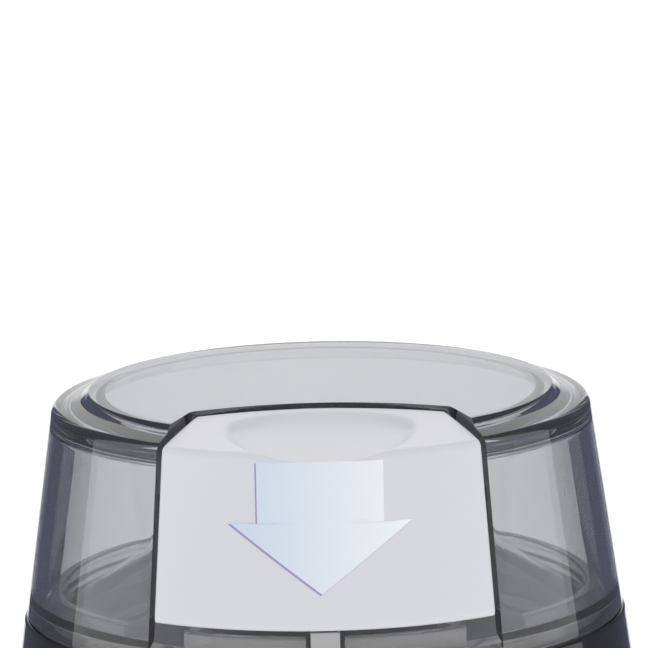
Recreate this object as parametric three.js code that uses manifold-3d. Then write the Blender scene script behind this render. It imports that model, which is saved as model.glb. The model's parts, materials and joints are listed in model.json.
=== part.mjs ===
// Press-key food chopper: a motor base with a steel bowl, and a smoke-clear lid whose
// white key is pressed to run it. Millimetres, +Z up, origin at the centre of the
// plane that the feet stand on. The front, where the key is, faces -Y.
import * as THREE from 'three';
import { mergeVertices } from 'three/addons/utils/BufferGeometryUtils.js';
import Module from 'manifold-3d';

const wasm = await Module();
wasm.setup();

// ---- Driving dimensions -------------------------------------------------------------
const SEAM_Z = 145; // top of the base, where the lid sits
const LID_HEIGHT = 30.7; // seam to the lid's top edge
const TOP_Z = SEAM_Z + LID_HEIGHT;
const SEAM_R = 43.0; // lid wall at the seam, outside
const TOP_R = 38.63; // lid wall at the top edge, outside
const GAP = 0.3; // left between pieces that touch
const RUNNING = 0.05; // radial clearance of a shaft in its bush

const WALL = 2.4; // lid wall and top plate
const TOP_PLATE = 2.6;
const TOP_EASING = 1.6; // radius of the top edge of the lid and of the key
// Raised middle of the lid's top, and the margin that climbs to its foot from the edge.
const PLATEAU = { footR: 34.5, footRise: 0.8, topR: 33.2, height: 1.9 };
const PLATEAU_UNDER_Z = TOP_Z + PLATEAU.height - TOP_PLATE;
const SILL = 1.2; // ring of lid wall left under the key's slot
const REBATE_R = 42.0; // step in the lid wall that takes the inner cup's flange

const KEY_FRONT_HALF = 22.3; // key half-width at its front top edge
const KEY_FRONT_Y = -31.6;
const KEY_BACK_HALF = 17.7; // half-width where its diagonal sides meet the back edge
const KEY_BACK_Y = -17.5;
const KEY_ARCH_Y = -13.2; // middle of the arched back edge
const KEY_DRAFT = 0.00112; // how much wider the key grows per mm below its top
const KEY_BOTTOM_Z = SEAM_Z + 6.2;
const KEY_WALL = 2.0;
const KEY_SLOT_GAP = 0.55;
const KEY_SKIRT_BACK_Y = -29; // behind this the key's side walls are short
const KEY_SHORT_WALL_Z = TOP_Z - 7.5;
const KEY_RISE = 1.3; // how far the key's top climbs from its front edge to its back edge
const KEY_ROOF = 2.4; // thickness of the key's top beside its dimple
const DIMPLE = { y: -24, halfWidth: 13.2, front: 16.5, back: 9, depth: 2.6 };
const KEY_INSIDE_Z = TOP_Z - KEY_ROOF - DIMPLE.depth;

const POST_HALF_WIDTH = 2.05; // plunger under the key
const POST_BACK_Y = -38.5;
const POST_FRONT_Y = -41.4;
const STEM_HALF_WIDTH = 6; // plate behind the key's front wall that carries the plunger
const STEM_Z = KEY_BOTTOM_Z + 2.2; // clear of the cup's rim when the key is down
const STEM_TOP_Z = KEY_BOTTOM_Z + 12;
const ROD_Y = -39.7;
const ROD_R = 1.5;

const FLANGE_R = 41.2; // inner cup's flange
const SKIRT_R = 36.2; // part of the inner cup that drops into the base
const SKIRT_BOTTOM_Z = SEAM_Z - 3.1;
const RIM_TOP_Z = SEAM_Z + 4.6;
const SPRING_POST = { x: 17.3, y: -29.8, half: 1.6 };

const COLLAR_BOTTOM_Z = SEAM_Z - 14;
const COLLAR_TOP_R = 43.25;
const COLLAR_BOTTOM_R = 45.2;
const HOUSING_WALL = 2.5;
const BOWL_SEAT_Z = 139;
const BOWL_R = 32.8;
const BOWL_WALL = 0.8;
const BOWL_BOTTOM_Z = 104.5;
const DECK_Z = 88;
const DECK_R = 41.6;
const SHAFT_R = 3;
const SHAFT_SIDES = 24; // shaft and its bores alike, so that the running gap is even
const STATOR_Z = 44.3;
const STATOR_TOP_Z = 65.7;
const BOLT_Y = 18.5;
const FAN_R = 13.8;
const FOOT_PLATE_Z = 2.6; // underside of the bottom cover
const FOOT_XY = 25.5;

const ROUND = 28; // sides of large round pieces
const VISIBLE = 40; // sides of the outer faces
const SMALL = 12; // sides of small pieces

// ---- Materials ------------------------------------------------------------------------
function finish(color, roughness, metalness = 0, opacity = 1) {
  return new THREE.MeshStandardMaterial({
    color, roughness, metalness, opacity, transparent: opacity < 1,
  });
}
const SMOKE = finish(0x8a8c90, 0.05, 0, 0.45);
const CLEAR = finish(0xc9ccd2, 0.05, 0, 0.4);
const WHITE = finish(0xe6e6ea, 0.35);
const GREY = finish(0xb5b5b7, 0.4);
const GLOSS_BLACK = finish(0x303236, 0.12);
const SATIN_BLACK = finish(0x2c2e31, 0.4);
const DARK_NYLON = finish(0x3a3c40, 0.5);
const RUBBER = finish(0x1c1c1e, 0.85);
const SILICONE = finish(0xd8dadd, 0.6);
const STEEL = finish(0xb9bcc0, 0.28, 1);
const SPRING_STEEL = finish(0xa9adb2, 0.3, 1);
const LAMINATION = finish(0x6e7176, 0.5, 0.8);
const COPPER = finish(0xb0643a, 0.35, 0.9);
const BRASS = finish(0xc2a15a, 0.35, 0.9);
const CARBON = finish(0x26272a, 0.7);

// ---- Solids ---------------------------------------------------------------------------
function toSolid(geometry) {
  const bare = geometry.clone();
  bare.deleteAttribute('normal');
  bare.deleteAttribute('uv');
  const merged = mergeVertices(bare, 1e-4);
  const points = new Float32Array(merged.attributes.position.array);
  const corners = merged.index.array;
  const faces = [];
  let volume = 0;
  const at = (i) => new THREE.Vector3(points[3 * i], points[3 * i + 1], points[3 * i + 2]);
  for (let i = 0; i < corners.length; i += 3) {
    const [a, b, c] = [corners[i], corners[i + 1], corners[i + 2]];
    if (a === b || b === c || c === a) continue;
    faces.push([a, b, c]);
    volume += at(a).dot(at(b).cross(at(c)));
  }
  const triVerts = new Uint32Array((volume < 0 ? faces.map((f) => f.reverse()) : faces).flat());
  return new wasm.Manifold(new wasm.Mesh({ numProp: 3, vertProperties: points, triVerts }));
}

function toGeometry(solid) {
  const mesh = solid.getMesh();
  const geometry = new THREE.BufferGeometry();
  geometry.setAttribute('position', new THREE.BufferAttribute(mesh.vertProperties, 3));
  geometry.setIndex(new THREE.BufferAttribute(mesh.triVerts, 1));
  geometry.computeVertexNormals();
  return geometry;
}

// Turns a profile of [radius, height] points about Z.
function turned(profile, sides = ROUND) {
  const points = profile.map(([r, z]) => new THREE.Vector2(r, z));
  const onAxis = profile[0][0] === 0;
  if (!onAxis) points.push(points[0].clone());
  return toSolid(new THREE.LatheGeometry(points, sides).rotateX(Math.PI / 2));
}

function disc(radius, low, high, sides = ROUND) {
  return turned([[0, low], [radius, low], [radius, high], [0, high]], sides);
}

function ring(inner, outer, low, high, sides = ROUND) {
  return turned([[inner, low], [outer, low], [outer, high], [inner, high]], sides);
}

function box(x0, x1, y0, y1, z0, z1) {
  const geometry = new THREE.BoxGeometry(x1 - x0, y1 - y0, z1 - z0);
  return toSolid(geometry.translate((x0 + x1) / 2, (y0 + y1) / 2, (z0 + z1) / 2));
}

function prism(outline, low, high, curveSegments = 10) {
  const options = { depth: high - low, bevelEnabled: false, curveSegments };
  return toSolid(new THREE.ExtrudeGeometry(outline, options).translate(0, 0, low));
}

// A round pin or hole at [x, y].
function pin(x, y, radius, low, high, sides = SMALL) {
  return disc(radius, low, high, sides).translate([x, y, 0]);
}

function joined(solids) {
  return solids.reduce((whole, next) => whole.add(next));
}

function around(count, make, start = 0) {
  return Array.from({ length: count }, (_, i) => make(start + (i * 2 * Math.PI) / count, i));
}

function turnedTo(angle, solid) {
  return solid.rotate([0, 0, (angle * 180) / Math.PI]);
}

const model = new THREE.Group();

function addNode(name, solid, material) {
  const mesh = new THREE.Mesh(toGeometry(solid), material);
  mesh.name = name;
  model.add(mesh);
}

// A coil spring about a vertical line at [x, y].
function coilSpring(x, y, coilR, wireR, low, high, turns, stepsPerTurn = 6) {
  class Helix extends THREE.Curve {
    getPoint(t, target = new THREE.Vector3()) {
      const angle = 2 * Math.PI * turns * t;
      const z = low + wireR + t * (high - low - 2 * wireR);
      return target.set(x + coilR * Math.cos(angle), y + coilR * Math.sin(angle), z);
    }
  }
  const section = new THREE.Shape().absarc(0, 0, wireR, 0, 2 * Math.PI);
  const options = {
    steps: turns * stepsPerTurn, curveSegments: 2, bevelEnabled: false, extrudePath: new Helix(),
  };
  return toSolid(new THREE.ExtrudeGeometry(section, options));
}

// A countersunk or cheese-head screw pointing up, its head at the bottom.
function screwUp(x, y, headR, headLow, headHigh, shankR, top) {
  const slot = box(x - 0.4, x + 0.4, y - headR, y + headR, headLow - 1, headLow + 0.6);
  return pin(x, y, headR, headLow, headHigh, 14).add(pin(x, y, shankR, headHigh - 0.1, top, 10))
    .subtract(slot);
}

// ---- Lid: outer cone, shared by the cover and the key -----------------------------------
function lidRadius(z) {
  return SEAM_R + ((z - SEAM_Z) / LID_HEIGHT) * (TOP_R - SEAM_R);
}

// The lid's outer form moved inwards by an offset, between two heights, with its top
// edge eased by a small chamfer arc.
function coneBlock(offset, low, high, easing) {
  const edge = lidRadius(high) - offset;
  const profile = [[0, low], [lidRadius(low) - offset, low]];
  if (easing > 0) {
    for (let i = 0; i <= 2; i += 1) {
      const a = (i / 2) * (Math.PI / 2);
      profile.push([edge - easing * (1 - Math.cos(a)), high - easing * (1 - Math.sin(a))]);
    }
  } else {
    profile.push([edge, high]);
  }
  profile.push([0, high]);
  return turned(profile, VISIBLE);
}

// The key's outline seen from above, grown by an offset, as a drafted prism.
function keyPrism(offset, low, high) {
  const outline = new THREE.Shape();
  const slope = (KEY_FRONT_HALF - KEY_BACK_HALF) / (KEY_BACK_Y - KEY_FRONT_Y);
  const frontY = -50;
  const frontHalf = KEY_FRONT_HALF + slope * (KEY_FRONT_Y - frontY) + offset;
  const backHalf = KEY_BACK_HALF + offset;
  const backY = KEY_BACK_Y + offset * 0.5;
  outline.moveTo(-frontHalf, frontY);
  outline.lineTo(frontHalf, frontY);
  outline.lineTo(backHalf, backY);
  outline.quadraticCurveTo(0, 2 * (KEY_ARCH_Y + offset) - backY, -backHalf, backY);
  outline.closePath();
  const options = { depth: high - low, bevelEnabled: false, curveSegments: 12 };
  const geometry = new THREE.ExtrudeGeometry(outline, options).translate(0, 0, low);
  const points = geometry.attributes.position;
  for (let i = 0; i < points.count; i += 1) {
    points.setX(i, points.getX(i) * (1 + KEY_DRAFT * (TOP_Z - points.getZ(i))));
  }
  return toSolid(geometry);
}

function lidCover() {
  const outer = coneBlock(0, SEAM_Z + GAP, TOP_Z, TOP_EASING);
  const hollow = coneBlock(WALL, SEAM_Z - 5, TOP_Z - TOP_PLATE, 0.8);
  const rebateTop = SEAM_Z + 3.4;
  const rebate = turned([
    [0, SEAM_Z - 1], [REBATE_R, SEAM_Z - 1], [REBATE_R, rebateTop - 0.8],
    [lidRadius(rebateTop) - WALL, rebateTop], [0, rebateTop],
  ]);
  const marginR = TOP_R - TOP_EASING;
  const plateau = turned([
    [0, TOP_Z - 1], [marginR, TOP_Z - 1], [marginR, TOP_Z],
    [PLATEAU.footR, TOP_Z + PLATEAU.footRise],
    [PLATEAU.topR, TOP_Z + PLATEAU.height], [0, TOP_Z + PLATEAU.height],
  ], VISIBLE);
  const underPlateau = disc(PLATEAU.topR - 1.6, TOP_Z - TOP_PLATE - 1, PLATEAU_UNDER_Z);
  const slot = keyPrism(KEY_SLOT_GAP, SEAM_Z + GAP + SILL, TOP_Z + 5);
  return outer.add(plateau).subtract(joined([hollow, underPlateau, rebate, slot]));
}

// ---- Lid: inner cup ---------------------------------------------------------------------
const DOME = [[37.3, 1.2], [31.5, 5.0], [25.2, 8.9], [17, 12.8], [8, 15.0]];
const DOME_TOP = 15.6;
const DOME_WALL = 1.6;
const SKIRT_WALL = 1.9;
const FLANGE_TOP_Z = SEAM_Z + 2.0;

function innerCup() {
  const outside = DOME.map(([r, z]) => [r, SEAM_Z + z]);
  const inside = DOME.slice(1).reverse().map(([r, z]) => [r - 1.3, SEAM_Z + z - DOME_WALL]);
  const skirtInside = SKIRT_R - SKIRT_WALL;
  return turned([
    [0, SEAM_Z + DOME_TOP - DOME_WALL], ...inside,
    [skirtInside, SEAM_Z + 0.6], [skirtInside, SKIRT_BOTTOM_Z], [SKIRT_R, SKIRT_BOTTOM_Z],
    [SKIRT_R, SEAM_Z + GAP], [FLANGE_R, SEAM_Z + GAP], [FLANGE_R, FLANGE_TOP_Z],
    ...outside, [0, SEAM_Z + DOME_TOP],
  ]);
}

// A box on one side of the lid, from x0 to x1 away from the middle.
function sideBox(side, x0, x1, ...rest) {
  return side > 0 ? box(x0, x1, ...rest) : box(-x1, -x0, ...rest);
}

function innerCupWithFittings() {
  const [open, inner, outer] = [2.7, 19.7, 27]; // half-width of the plunger's gap; side gaps
  const rim = ring(37.6, 39.3, FLANGE_TOP_Z - 0.4, RIM_TOP_Z);
  const rimNotches = joined([
    box(-open, open, -45, -30, FLANGE_TOP_Z, RIM_TOP_Z + 4),
    ...[-1, 1].map((side) => sideBox(side, inner, outer, -38, -26, FLANGE_TOP_Z, RIM_TOP_Z + 4)),
  ]);
  const plungerNotch = box(-open, open, -45, POST_BACK_Y + 0.6, SEAM_Z - 1, RIM_TOP_Z + 4);
  const { x, y, half } = SPRING_POST;
  const posts = [-1, 1].flatMap((side) => [
    sideBox(side, x - half, x + half, y - half, y + half, SEAM_Z + 1.5, SEAM_Z + 5.6),
    pin(side * x, y, 1.1, SEAM_Z + 5.5, SEAM_Z + 15, 8),
  ]);
  return joined([innerCup(), rim.subtract(rimNotches), ...posts]).subtract(plungerNotch);
}

function lidSeal() {
  return turned([
    [33.4, SEAM_Z - 4.5], [SKIRT_R, SEAM_Z - 4.5], [SKIRT_R, SKIRT_BOTTOM_Z - 0.4],
    [34.9, SKIRT_BOTTOM_Z - GAP], [33.4, SEAM_Z - 3.9],
  ]);
}

// ---- Key ----------------------------------------------------------------------------------
const RAMP_FRONT_Y = TOP_EASING - TOP_R;
const RAMP_SLOPE = KEY_RISE / (KEY_BACK_Y - RAMP_FRONT_Y);

// The finger dish: half an egg let into the sloping top, and sheared to that slope.
function dimple() {
  const ball = new THREE.SphereGeometry(1, 28, 14);
  const points = ball.attributes.position;
  for (let i = 0; i < points.count; i += 1) {
    const unitY = points.getY(i);
    const y = unitY * (unitY < 0 ? DIMPLE.front : DIMPLE.back) + DIMPLE.y;
    const topHere = TOP_Z + (y - RAMP_FRONT_Y) * RAMP_SLOPE;
    points.setXYZ(i, points.getX(i) * DIMPLE.halfWidth, y, points.getZ(i) * DIMPLE.depth + topHere);
  }
  return toSolid(ball);
}

// Everything below the key's top, which climbs from the front edge to the back edge.
function underKeyTop() {
  const outline = new THREE.Shape();
  outline.moveTo(-50, 100);
  outline.lineTo(10, 100);
  outline.lineTo(10, TOP_Z + KEY_RISE);
  outline.lineTo(KEY_BACK_Y, TOP_Z + KEY_RISE);
  outline.lineTo(RAMP_FRONT_Y, TOP_Z);
  outline.lineTo(-50, TOP_Z);
  outline.closePath();
  return prism(outline, -40, 40).rotate([90, 0, 90]);
}

function pushKey() {
  const outer = coneBlock(0, KEY_BOTTOM_Z, TOP_Z, TOP_EASING)
    .add(disc(TOP_R - TOP_EASING, TOP_Z - 1, TOP_Z + KEY_RISE, VISIBLE))
    .intersect(keyPrism(0, KEY_BOTTOM_Z, TOP_Z + KEY_RISE + 1)).intersect(underKeyTop());
  const inner = coneBlock(KEY_WALL, KEY_BOTTOM_Z - 1, KEY_INSIDE_Z, 0)
    .intersect(keyPrism(-KEY_WALL, KEY_BOTTOM_Z - 1, KEY_INSIDE_Z));
  const behind = box(-40, 40, KEY_SKIRT_BACK_Y, 10, KEY_BOTTOM_Z - 1, KEY_SHORT_WALL_Z);
  return outer.subtract(inner).subtract(behind).subtract(dimple());
}

// The post reaches down to the switch rod. It rises behind the key's front wall and
// steps back to a plate that stands against that wall.
function keyPlunger() {
  const stemFrontY = -(lidRadius(STEM_TOP_Z) - KEY_WALL) + 1;
  const stemBackY = stemFrontY + 2;
  const neckTop = STEM_Z + 1;
  const [left, right] = [-POST_HALF_WIDTH, POST_HALF_WIDTH];
  return joined([
    box(left, right, POST_FRONT_Y, POST_BACK_Y, SEAM_Z - 3, KEY_BOTTOM_Z - GAP),
    box(left, right, POST_BACK_Y - 0.9, POST_BACK_Y, KEY_BOTTOM_Z - 1, neckTop),
    box(left, right, POST_BACK_Y - 0.5, stemBackY, KEY_BOTTOM_Z + GAP, neckTop),
    box(-STEM_HALF_WIDTH, STEM_HALF_WIDTH, stemFrontY, stemBackY, STEM_Z, STEM_TOP_Z),
  ]);
}

// ---- Base shells ----------------------------------------------------------------------------
function housingRadius(z) {
  const t = (z - 2) / (COLLAR_BOTTOM_Z - 2);
  const swell = 1.6 * Math.sin(Math.PI * t) * (1 - 0.45 * t);
  return COLLAR_BOTTOM_R + 1.5 * (1 - t) + swell - (1 - t) ** 8;
}

const HOUSING_LEVELS = [2, 6, 20, 45, 75, 105, COLLAR_BOTTOM_Z - GAP];
const BOTTOM_SCREWS = 4;
const BOTTOM_SCREW_START = Math.PI / 8; // clear of the feet and of the cord gland
const BOTTOM_SCREW_R = 37;
const DECK_SCREW_R = 37.6;
const RIB_END_R = 45.3; // inside the wall, so that each boss grows out of it
const GLAND = { z: 16, bodyR: 5.2, boreR: 3.4 };
const FOOT_PLACES = [[-1, -1], [1, -1], [1, 1], [-1, 1]].map(([x, y]) => [x * FOOT_XY, y * FOOT_XY]);

function wallBoss(angle, radius, bossR, low, high) {
  const x = radius * Math.cos(angle);
  const y = radius * Math.sin(angle);
  const rib = turnedTo(angle, box(radius, RIB_END_R, -1.2, 1.2, low, high));
  return pin(x, y, bossR, low, high, 16).add(rib);
}

function pilotHole(angle, radius, holeR, low, high) {
  return pin(radius * Math.cos(angle), radius * Math.sin(angle), holeR, low, high, 10);
}

function baseHousing() {
  const outside = HOUSING_LEVELS.map((z) => [housingRadius(z), z]);
  const inside = HOUSING_LEVELS.slice().reverse().map((z) => [housingRadius(z) - HOUSING_WALL, z]);
  const shell = turned([...outside, ...inside], 36);
  const bosses = [
    ...around(BOTTOM_SCREWS, (a) => wallBoss(a, BOTTOM_SCREW_R, 3.2, 6.2, 18), BOTTOM_SCREW_START),
    ...around(3, (a) => wallBoss(a, DECK_SCREW_R, 3.2, 70, DECK_Z - 2.3), Math.PI / 2),
  ];
  const pilots = [
    ...around(BOTTOM_SCREWS, (a) => pilotHole(a, BOTTOM_SCREW_R, 1.65, 5, 17), BOTTOM_SCREW_START),
    ...around(3, (a) => pilotHole(a, DECK_SCREW_R, 1.65, 74, DECK_Z), Math.PI / 2),
  ];
  const glandHole = disc(GLAND.bodyR + GAP, 0, 30, SMALL).rotate([-90, 0, 0])
    .translate([0, 30, GLAND.z]);
  return joined([shell, ...bosses]).subtract(joined([...pilots, glandHole]));
}

function baseCollar() {
  const [bore, shelf] = [36.6, 33.4]; // above and below the bowl's seat
  const spigot = { inner: 41.0, outer: 42.3, low: COLLAR_BOTTOM_Z - 5 };
  const body = turned([
    [shelf, BOWL_SEAT_Z], [shelf, COLLAR_BOTTOM_Z], [spigot.inner, COLLAR_BOTTOM_Z],
    [spigot.inner, spigot.low], [spigot.outer, spigot.low], [spigot.outer, COLLAR_BOTTOM_Z],
    [COLLAR_BOTTOM_R, COLLAR_BOTTOM_Z], [COLLAR_TOP_R, SEAM_Z - 0.4],
    [COLLAR_TOP_R - 0.4, SEAM_Z], [bore, SEAM_Z], [bore, BOWL_SEAT_Z],
  ], VISIBLE);
  const pocket = box(-2.6, 2.6, POST_FRONT_Y - 0.4, POST_BACK_Y + 0.6, SEAM_Z - 7, SEAM_Z + 1);
  const rodHole = pin(0, ROD_Y, ROD_R + 0.3, COLLAR_BOTTOM_Z - 6, SEAM_Z, 16);
  return body.subtract(pocket).subtract(rodHole);
}

function bottomCover() {
  const radius = housingRadius(3.5) - HOUSING_WALL - 1.0;
  const plate = disc(radius, FOOT_PLATE_Z, FOOT_PLATE_Z + 3);
  const vents = [-2, -1, 0, 1, 2].map((i) => {
    const half = 16 - 3 * Math.abs(i);
    return box(-half, half, i * 6 - 1.2, i * 6 + 1.2, 0, 10);
  });
  const screwHoles = around(BOTTOM_SCREWS, (a) => {
    const at = [BOTTOM_SCREW_R * Math.cos(a), BOTTOM_SCREW_R * Math.sin(a)];
    return pin(...at, 1.8, 0, 10, 10).add(pin(...at, 3.3, 0, FOOT_PLATE_Z + 1.7, 12));
  }, BOTTOM_SCREW_START);
  const footHoles = FOOT_PLACES.map(([x, y]) => pin(x, y, 2.3, 0, 10, 14));
  return plate.subtract(joined([...vents, ...screwHoles, ...footHoles]));
}

function rubberFoot([x, y]) {
  const top = FOOT_PLATE_Z + 3;
  return turned([
    [0, 0], [5.6, 0], [6.2, 0.6], [6.2, FOOT_PLATE_Z - GAP], [2.0, FOOT_PLATE_Z - GAP],
    [2.0, top + GAP], [2.9, top + GAP], [1.8, top + 2.2], [0, top + 2.2],
  ], 12).translate([x, y, 0]);
}

// A rubber bush in the rear wall, open where a mains lead would enter.
function cordGland() {
  const inner = housingRadius(GLAND.z) - HOUSING_WALL;
  const outer = housingRadius(GLAND.z);
  const body = turned([
    [GLAND.boreR, inner - 3], [GLAND.bodyR + 1.6, inner - 3], [GLAND.bodyR + 1.6, inner - 0.9],
    [GLAND.bodyR, inner - 0.9], [GLAND.bodyR, outer + 0.1], [GLAND.bodyR - 0.5, outer + 0.5],
    [GLAND.boreR, outer + 0.5],
  ], SMALL);
  return body.rotate([-90, 0, 0]).translate([0, 0, GLAND.z]);
}

// ---- Food side ----------------------------------------------------------------------------------
function bowl() {
  const [r, t, z, corner] = [BOWL_R, BOWL_WALL, BOWL_BOTTOM_Z, 7];
  const seat = BOWL_SEAT_Z + GAP;
  const outer = [[r, seat]];
  const inner = [];
  for (let i = 0; i <= 3; i += 1) {
    const a = (i / 3) * (Math.PI / 2);
    outer.push([r - corner * (1 - Math.cos(a)), z + corner * (1 - Math.sin(a))]);
    inner.unshift([
      r - corner + (corner - t) * Math.cos(a), z + corner - (corner - t) * Math.sin(a),
    ]);
  }
  const tower = 6.2; // bore for the shaft's seal
  const centre = [
    [tower, z], [tower, z + 5], [tower - 1, z + 6], [tower, z + 6 + t], [tower + t, z + 5.4],
    [tower + t, z + t],
  ];
  const lip = [[r - t, seat + t], [SKIRT_R, seat + t], [SKIRT_R, seat]];
  return turned([...outer, ...centre, ...inner, ...lip]);
}

function blade() {
  const hub = disc(6.5, 113.6, 115.0, SMALL);
  const wings = [1, -1].map((side) => {
    const outline = new THREE.Shape();
    outline.moveTo(-1.2, -4.2);
    outline.lineTo(9, -4.4);
    outline.quadraticCurveTo(19, -3.4, 22.5, 4.2);
    outline.quadraticCurveTo(13, 4.8, 3, 4.4);
    outline.lineTo(-1.2, 4.2);
    outline.closePath();
    const wing = prism(outline, 0, 1.2, 5).rotate([0, side > 0 ? -14 : 10, 0]);
    return wing.translate([6.2, 0, 113.7]).rotate([0, 0, side > 0 ? 0 : 180]);
  });
  const hole = disc(2.75, 100, 130, SMALL);
  return joined([hub, ...wings]).subtract(hole);
}

function bladeNut() {
  const washer = disc(5.4, 115.3, 116.2, SMALL);
  return disc(4.6, 115.6, 119.2, 6).add(washer).subtract(disc(2.75, 110, 125, SMALL));
}

function bladeSpacer() {
  return ring(2.75, 5.2, 112.1, 113.3, SMALL);
}

function shaftSeal() {
  return ring(SHAFT_R + RUNNING, 4.9, DECK_Z + 4, 111.2, SHAFT_SIDES);
}

// ---- Drive ------------------------------------------------------------------------------
function driveShaft() {
  return turned([
    [0, 15], [SHAFT_R, 15], [SHAFT_R, 111.8], [2.5, 111.8], [2.5, 120.4], [2.0, 121], [0, 121],
  ], SHAFT_SIDES);
}

function onShaft(solid) {
  return solid.subtract(disc(SHAFT_R + RUNNING, 0, 130, SHAFT_SIDES));
}

function rotorCore() {
  const slots = around(12, (a) => turnedTo(a, box(6.5, 14, -0.9, 0.9, 30, 80)));
  return onShaft(disc(13, STATOR_Z + 0.7, STATOR_TOP_Z - 0.7, 24).subtract(joined(slots)));
}

function rotorWinding(low, high) {
  return onShaft(turned([
    [0, low], [9.5, low], [12, low + 2], [12, high - 1.5], [10, high], [0, high],
  ], 20));
}

function commutator() {
  const cuts = around(12, (a) => turnedTo(a, box(5.2, 9, -0.25, 0.25, 20, 45)));
  return onShaft(disc(7, 27.3, 36.5, 24).subtract(joined(cuts)));
}

function coolingFan() {
  const blades = around(9, (a) => turnedTo(a, box(4.5, FAN_R, -0.6, 0.6, 74.8, 82.5)));
  return onShaft(joined([disc(FAN_R, 73.6, 75, 24), disc(5.2, 73.6, 82.5, SMALL), ...blades]));
}

function bearing(low, high, outer) {
  const flange = low < 50 ? [low, low + 1] : [high - 1, high];
  return onShaft(disc(outer, low, high, SMALL).add(disc(outer + 1.2, ...flange, SMALL)));
}

function boltHoles(low, high) {
  return [-1, 1].map((side) => pin(0, side * BOLT_Y, 1.9, low, high, 12));
}

function statorCore() {
  const outline = new THREE.Shape();
  const [halfX, halfY, corner] = [26, 22, 4];
  outline.moveTo(-halfX + corner, -halfY);
  outline.lineTo(halfX - corner, -halfY);
  outline.absarc(halfX - corner, -halfY + corner, corner, -Math.PI / 2, 0);
  outline.absarc(halfX - corner, halfY - corner, corner, 0, Math.PI / 2);
  outline.absarc(-halfX + corner, halfY - corner, corner, Math.PI / 2, Math.PI);
  outline.absarc(-halfX + corner, -halfY + corner, corner, Math.PI, 1.5 * Math.PI);
  const windows = [-1, 1].flatMap((side) => [
    sideBox(side, 14.4, 20.6, 10.6, 17.8, 30, 80), sideBox(side, 14.4, 20.6, -17.8, -10.6, 30, 80),
  ]);
  const bore = disc(13.6, 30, 80, 28);
  return prism(outline, STATOR_Z, STATOR_TOP_Z, 4)
    .subtract(joined([...windows, bore, ...boltHoles(30, 80)]));
}

function fieldCoil(side) {
  const outer = box(15, 20, -17.2, 17.2, STATOR_Z - 6, STATOR_TOP_Z + 6);
  const inner = box(14, 21, -11.2, 11.2, STATOR_Z - GAP, STATOR_TOP_Z + GAP);
  const coil = outer.subtract(inner);
  return side > 0 ? coil : coil.rotate([0, 0, 180]);
}

function motorDeck() {
  const plate = disc(DECK_R, DECK_Z, DECK_Z + 3, ROUND);
  const boss = disc(10.5, DECK_Z - 3, DECK_Z + 3, SMALL);
  const posts = [-1, 1].map((side) => pin(0, side * BOLT_Y, 4, STATOR_TOP_Z + GAP, DECK_Z + 0.5, 16));
  const holes = [
    disc(6.3, 70, 100, SMALL),
    disc(7.5, DECK_Z + 2.3, 100, SMALL),
    ...boltHoles(40, 100),
    ...around(3, (a) => pilotHole(a, DECK_SCREW_R, 2.0, 80, 100), Math.PI / 2),
    ...around(6, (a) => pin(28 * Math.cos(a), 28 * Math.sin(a), 3.6, 80, 100, 10), Math.PI / 6),
  ];
  return joined([plate, boss, ...posts]).subtract(joined(holes));
}

function lowerBracket() {
  const arm = box(-7, 7, -24, 24, 18, 21);
  const cross = box(-19, 19, -4.5, 4.5, 18, 21);
  const posts = [-1, 1].map((side) => pin(0, side * BOLT_Y, 4, 18, STATOR_Z - GAP, 16));
  const pedestals = [-1, 1].map((side) => sideBox(side, 12, 18.5, -3.5, 3.5, 18, 28));
  const holes = [disc(6.3, 10, 30, SMALL), ...boltHoles(10, 60)];
  return joined([arm, cross, ...posts, ...pedestals]).subtract(joined(holes));
}

function motorBolt(side) {
  const shank = pin(0, side * BOLT_Y, 1.6, 15.4, DECK_Z + 6, 12);
  return joined([shank, pin(0, side * BOLT_Y, 3.2, 15.4, 17.7, 14)]);
}

function motorNut(side) {
  const nut = pin(0, side * BOLT_Y, 3.2, DECK_Z + 3.3, DECK_Z + 5.6, 6);
  return nut.subtract(pin(0, side * BOLT_Y, 1.75, 60, 110, 14));
}

function brushHolder(side) {
  const tube = box(8.6, 19, -3.5, 3.5, 28.3, 35.3).subtract(box(7, 17.8, -2.6, 2.6, 29.2, 34.4));
  return side > 0 ? tube : tube.rotate([0, 0, 180]);
}

function brush(side) {
  const block = box(7.3, 15.5, -2.3, 2.3, 29.5, 34.1);
  return side > 0 ? block : block.rotate([0, 0, 180]);
}

function deckScrew(angle) {
  const [x, y] = [DECK_SCREW_R * Math.cos(angle), DECK_SCREW_R * Math.sin(angle)];
  const head = pin(x, y, 2.9, DECK_Z + 3.3, DECK_Z + 5.3, 14);
  return head.add(pin(x, y, 1.35, DECK_Z - 12, DECK_Z + 3.4, 10));
}

function deckMount(angle) {
  return ring(1.75, 3.4, DECK_Z - 2, DECK_Z - GAP, 14)
    .translate([DECK_SCREW_R * Math.cos(angle), DECK_SCREW_R * Math.sin(angle), 0]);
}

// ---- Safety switch ----------------------------------------------------------------------
const SWITCH = { low: 91.8, high: 100.6, back: -36.4, front: -42.2, half: 9 };
const ROD = { low: 105, high: SEAM_Z - 3.3, flangeZ: 122 };

function switchRod() {
  const flange = pin(0, ROD_Y, 2.5, ROD.flangeZ, ROD.flangeZ + 1.5, 16);
  return pin(0, ROD_Y, ROD_R, ROD.low, ROD.high, 16).add(flange);
}

function switchBracket() {
  const back = box(-SWITCH.half, SWITCH.half, SWITCH.back + 0.3, SWITCH.back + 1.5, 91.3, 109.5);
  const foot = box(-SWITCH.half, SWITCH.half, SWITCH.back + 0.3, -27.5, 91.3, 92.5);
  const guide = box(-4, 4, -42, SWITCH.back + 0.6, 108, 109.5);
  const hole = pin(0, ROD_Y, ROD_R + 0.3, 100, 115, 16);
  return joined([back, foot, guide]).subtract(hole);
}

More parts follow.
